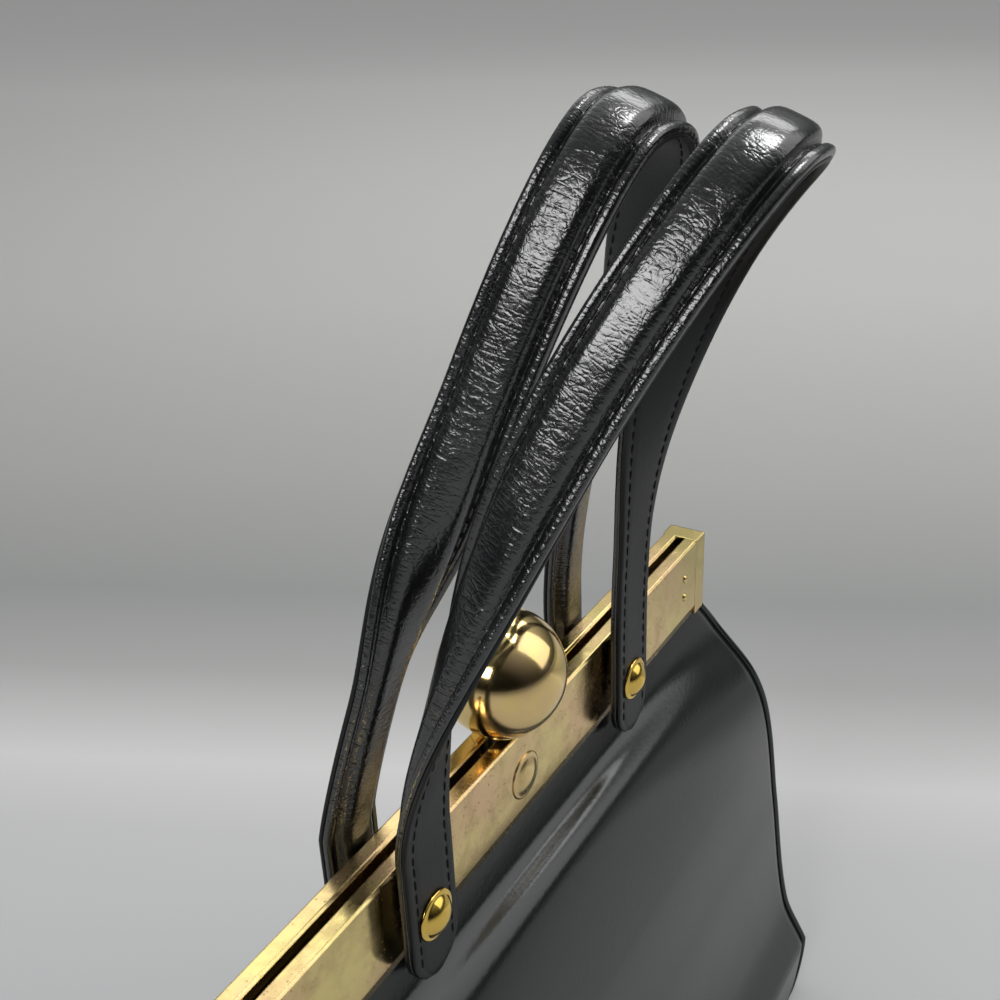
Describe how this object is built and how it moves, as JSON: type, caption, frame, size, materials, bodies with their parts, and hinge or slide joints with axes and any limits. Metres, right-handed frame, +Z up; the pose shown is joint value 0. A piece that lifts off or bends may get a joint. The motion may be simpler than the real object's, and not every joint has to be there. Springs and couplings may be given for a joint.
{
  "type": "ball clasp frame purse",
  "caption": "Structured black leather frame purse with a hinged brass frame, a ball clasp on a tilting lever and padded strap handles.",
  "frame": {"origin": "centre of the bag's flat underside, on the surface it stands on", "axes": "+Z up, X along the mouth and the frame, -Y towards the front, the side whose frame half opens"},
  "size_m": [0.228, 0.0927, 0.2856],
  "materials": {
    "brass": "polished",
    "steel": "plain",
    "gilt": "polished",
    "black_leather": "semi-gloss",
    "filler": "matte",
    "card": "matte",
    "lining_cloth": "satin"
  },
  "bodies": {
    "bag": {"rear_frame_half": "brass", "rear_clamp_strip": "steel", "rear_strip_rivets": "brass", "left_hinge_pin": "steel", "right_hinge_pin": "steel", "left_hinge_spacer": "brass", "right_hinge_spacer": "brass", "catch_stud": "steel", "rear_left_tab": "black_leather", "rear_right_tab": "black_leather", "rear_handle_rivets": "gilt", "rear_rivet_washers": "brass", "front_leather": "black_leather", "back_leather": "black_leather", "left_gusset": "black_leather", "right_gusset": "black_leather", "bottom_leather": "black_leather", "base_board": "card", "front_board": "card", "back_board": "card", "lining_bag": "lining_cloth", "inner_pocket": "lining_cloth"},
    "front_half": {"front_frame_half": "brass", "front_clamp_strip": "steel", "front_strip_rivets": "brass", "clasp_bracket": "brass", "clasp_pin": "steel", "clasp_springs": "steel", "clasp_rivet": "brass", "front_left_tab": "black_leather", "front_right_tab": "black_leather", "front_handle_rivets": "gilt", "front_rivet_washers": "brass"},
    "clasp": {"clasp_lever": "steel", "clasp_ball": "gilt", "ball_base_ring": "gilt"},
    "front_handle": {"front_handle_cover": "black_leather", "front_handle_core": "filler", "front_handle_lining": "black_leather"},
    "rear_handle": {"rear_handle_cover": "black_leather", "rear_handle_core": "filler", "rear_handle_lining": "black_leather"}
  },
  "joints": [
    {"name": "front_open", "type": "hinge", "parent": "bag", "child": "front_half", "pos_m": [0, 0, 0.12], "axis": [1, 0, 0], "range_deg": [0, 55], "deforming": ["front_leather", "lining_bag"]},
    {"name": "clasp_tilt", "type": "hinge", "parent": "front_half", "child": "clasp", "pos_m": [0, 0, 0.1445], "axis": [1, 0, 0], "range_deg": [0, 5], "stiffness_Nm_per_rad": 0.3, "springref_deg": -11.46},
    {"name": "front_handle_fold", "type": "hinge", "parent": "front_half", "child": "front_handle", "pos_m": [0, -0.0072, 0.163], "axis": [1, 0, 0], "range_deg": [0, 100]},
    {"name": "rear_handle_fold", "type": "hinge", "parent": "bag", "child": "rear_handle", "pos_m": [0, 0.0072, 0.163], "axis": [1, 0, 0], "range_deg": [-130, 0]}
  ]
}
